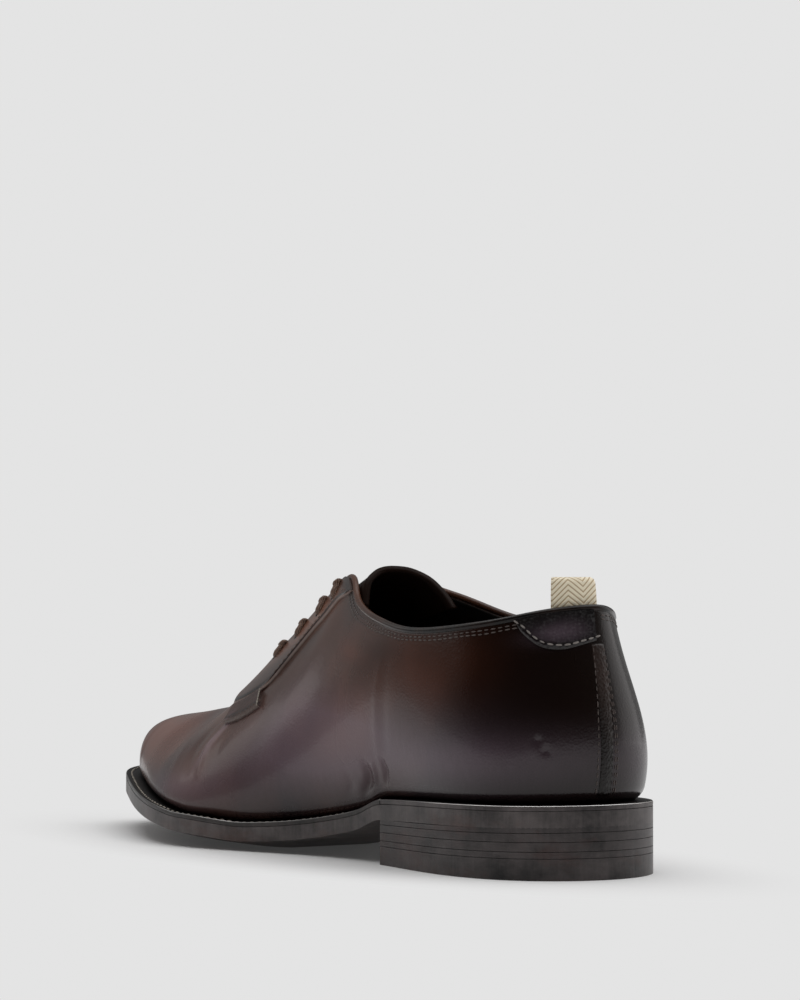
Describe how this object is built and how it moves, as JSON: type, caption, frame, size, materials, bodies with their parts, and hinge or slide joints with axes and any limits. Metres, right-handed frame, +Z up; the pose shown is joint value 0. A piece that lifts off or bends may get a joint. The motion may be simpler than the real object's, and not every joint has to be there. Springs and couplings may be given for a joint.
{
  "type": "derby shoe",
  "caption": "Low leather derby shoe with open lacing, corded collar, heel pull loop and a stitched leather sole on a stacked heel.",
  "frame": {"origin": "on the floor, under the middle of the shoe's length and width", "axes": "toe towards -Y, heel towards +Y, the wearer's left towards +X, +Z up"},
  "size_m": [0.1032, 0.302, 0.096],
  "materials": {
    "upper_leather": "polished, burnished dark brown",
    "binding_leather": "satin",
    "lining_leather": "matt",
    "sole_leather": "satin, dark stained edge",
    "heel_rubber": "matt",
    "lace_cord": "waxed",
    "loop_tape": "woven"
  },
  "bodies": {
    "root": {"upper": "upper_leather", "facing_lateral": "upper_leather", "facing_medial": "upper_leather", "throat_patch_lateral": "upper_leather", "throat_patch_medial": "upper_leather", "heel_tab": "upper_leather", "back_strip": "upper_leather", "topline_binding": "binding_leather", "tongue": "binding_leather", "insole": "lining_leather", "pull_loop": "loop_tape", "outsole": "sole_leather", "welt": "sole_leather", "heel_rand": "sole_leather", "heel_base": "sole_leather", "heel_lift_1": "sole_leather", "heel_lift_2": "sole_leather", "heel_lift_3": "sole_leather", "top_piece": "heel_rubber", "lace_bar_1": "lace_cord", "lace_bar_2": "lace_cord", "lace_bar_3": "lace_cord", "lace_bar_4": "lace_cord"}
  },
  "joints": []
}
